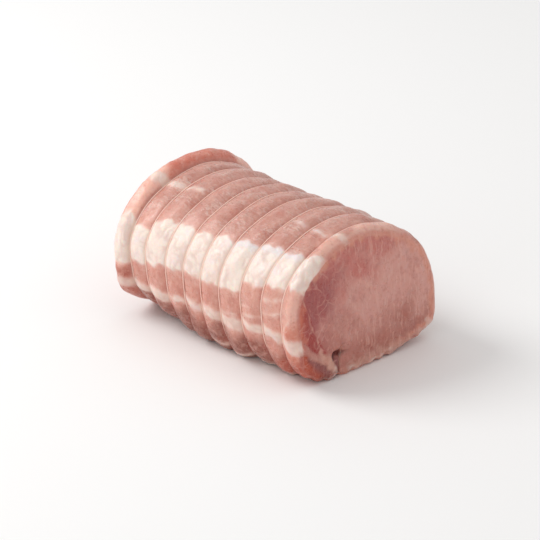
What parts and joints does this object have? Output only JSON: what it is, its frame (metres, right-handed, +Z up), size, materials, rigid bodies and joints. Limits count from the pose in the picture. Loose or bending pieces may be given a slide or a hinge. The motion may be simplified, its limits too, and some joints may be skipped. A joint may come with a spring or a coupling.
{
  "type": "raw pork loin roast",
  "caption": "Boned and rolled raw pork loin, tied with thin elastic loops that pinch it into rounded lobes, with one freshly cut face, a band of fat along its side and a seam below.",
  "frame": {"origin": "middle of the base, on the surface that the roast lies on", "axes": "+X along the roast towards its freshly cut face, -Y towards the side that shows the fat, +Z up"},
  "size_m": [0.1666, 0.1282, 0.0928],
  "materials": {
    "raw_meat": "moist",
    "elastic_tie": "satin"
  },
  "bodies": {
    "root": {"loin": "raw_meat", "tie_1": "elastic_tie", "tie_2": "elastic_tie", "tie_3": "elastic_tie", "tie_4": "elastic_tie", "tie_5": "elastic_tie", "tie_6": "elastic_tie", "tie_7": "elastic_tie", "tie_8": "elastic_tie", "tie_9": "elastic_tie"}
  },
  "joints": []
}
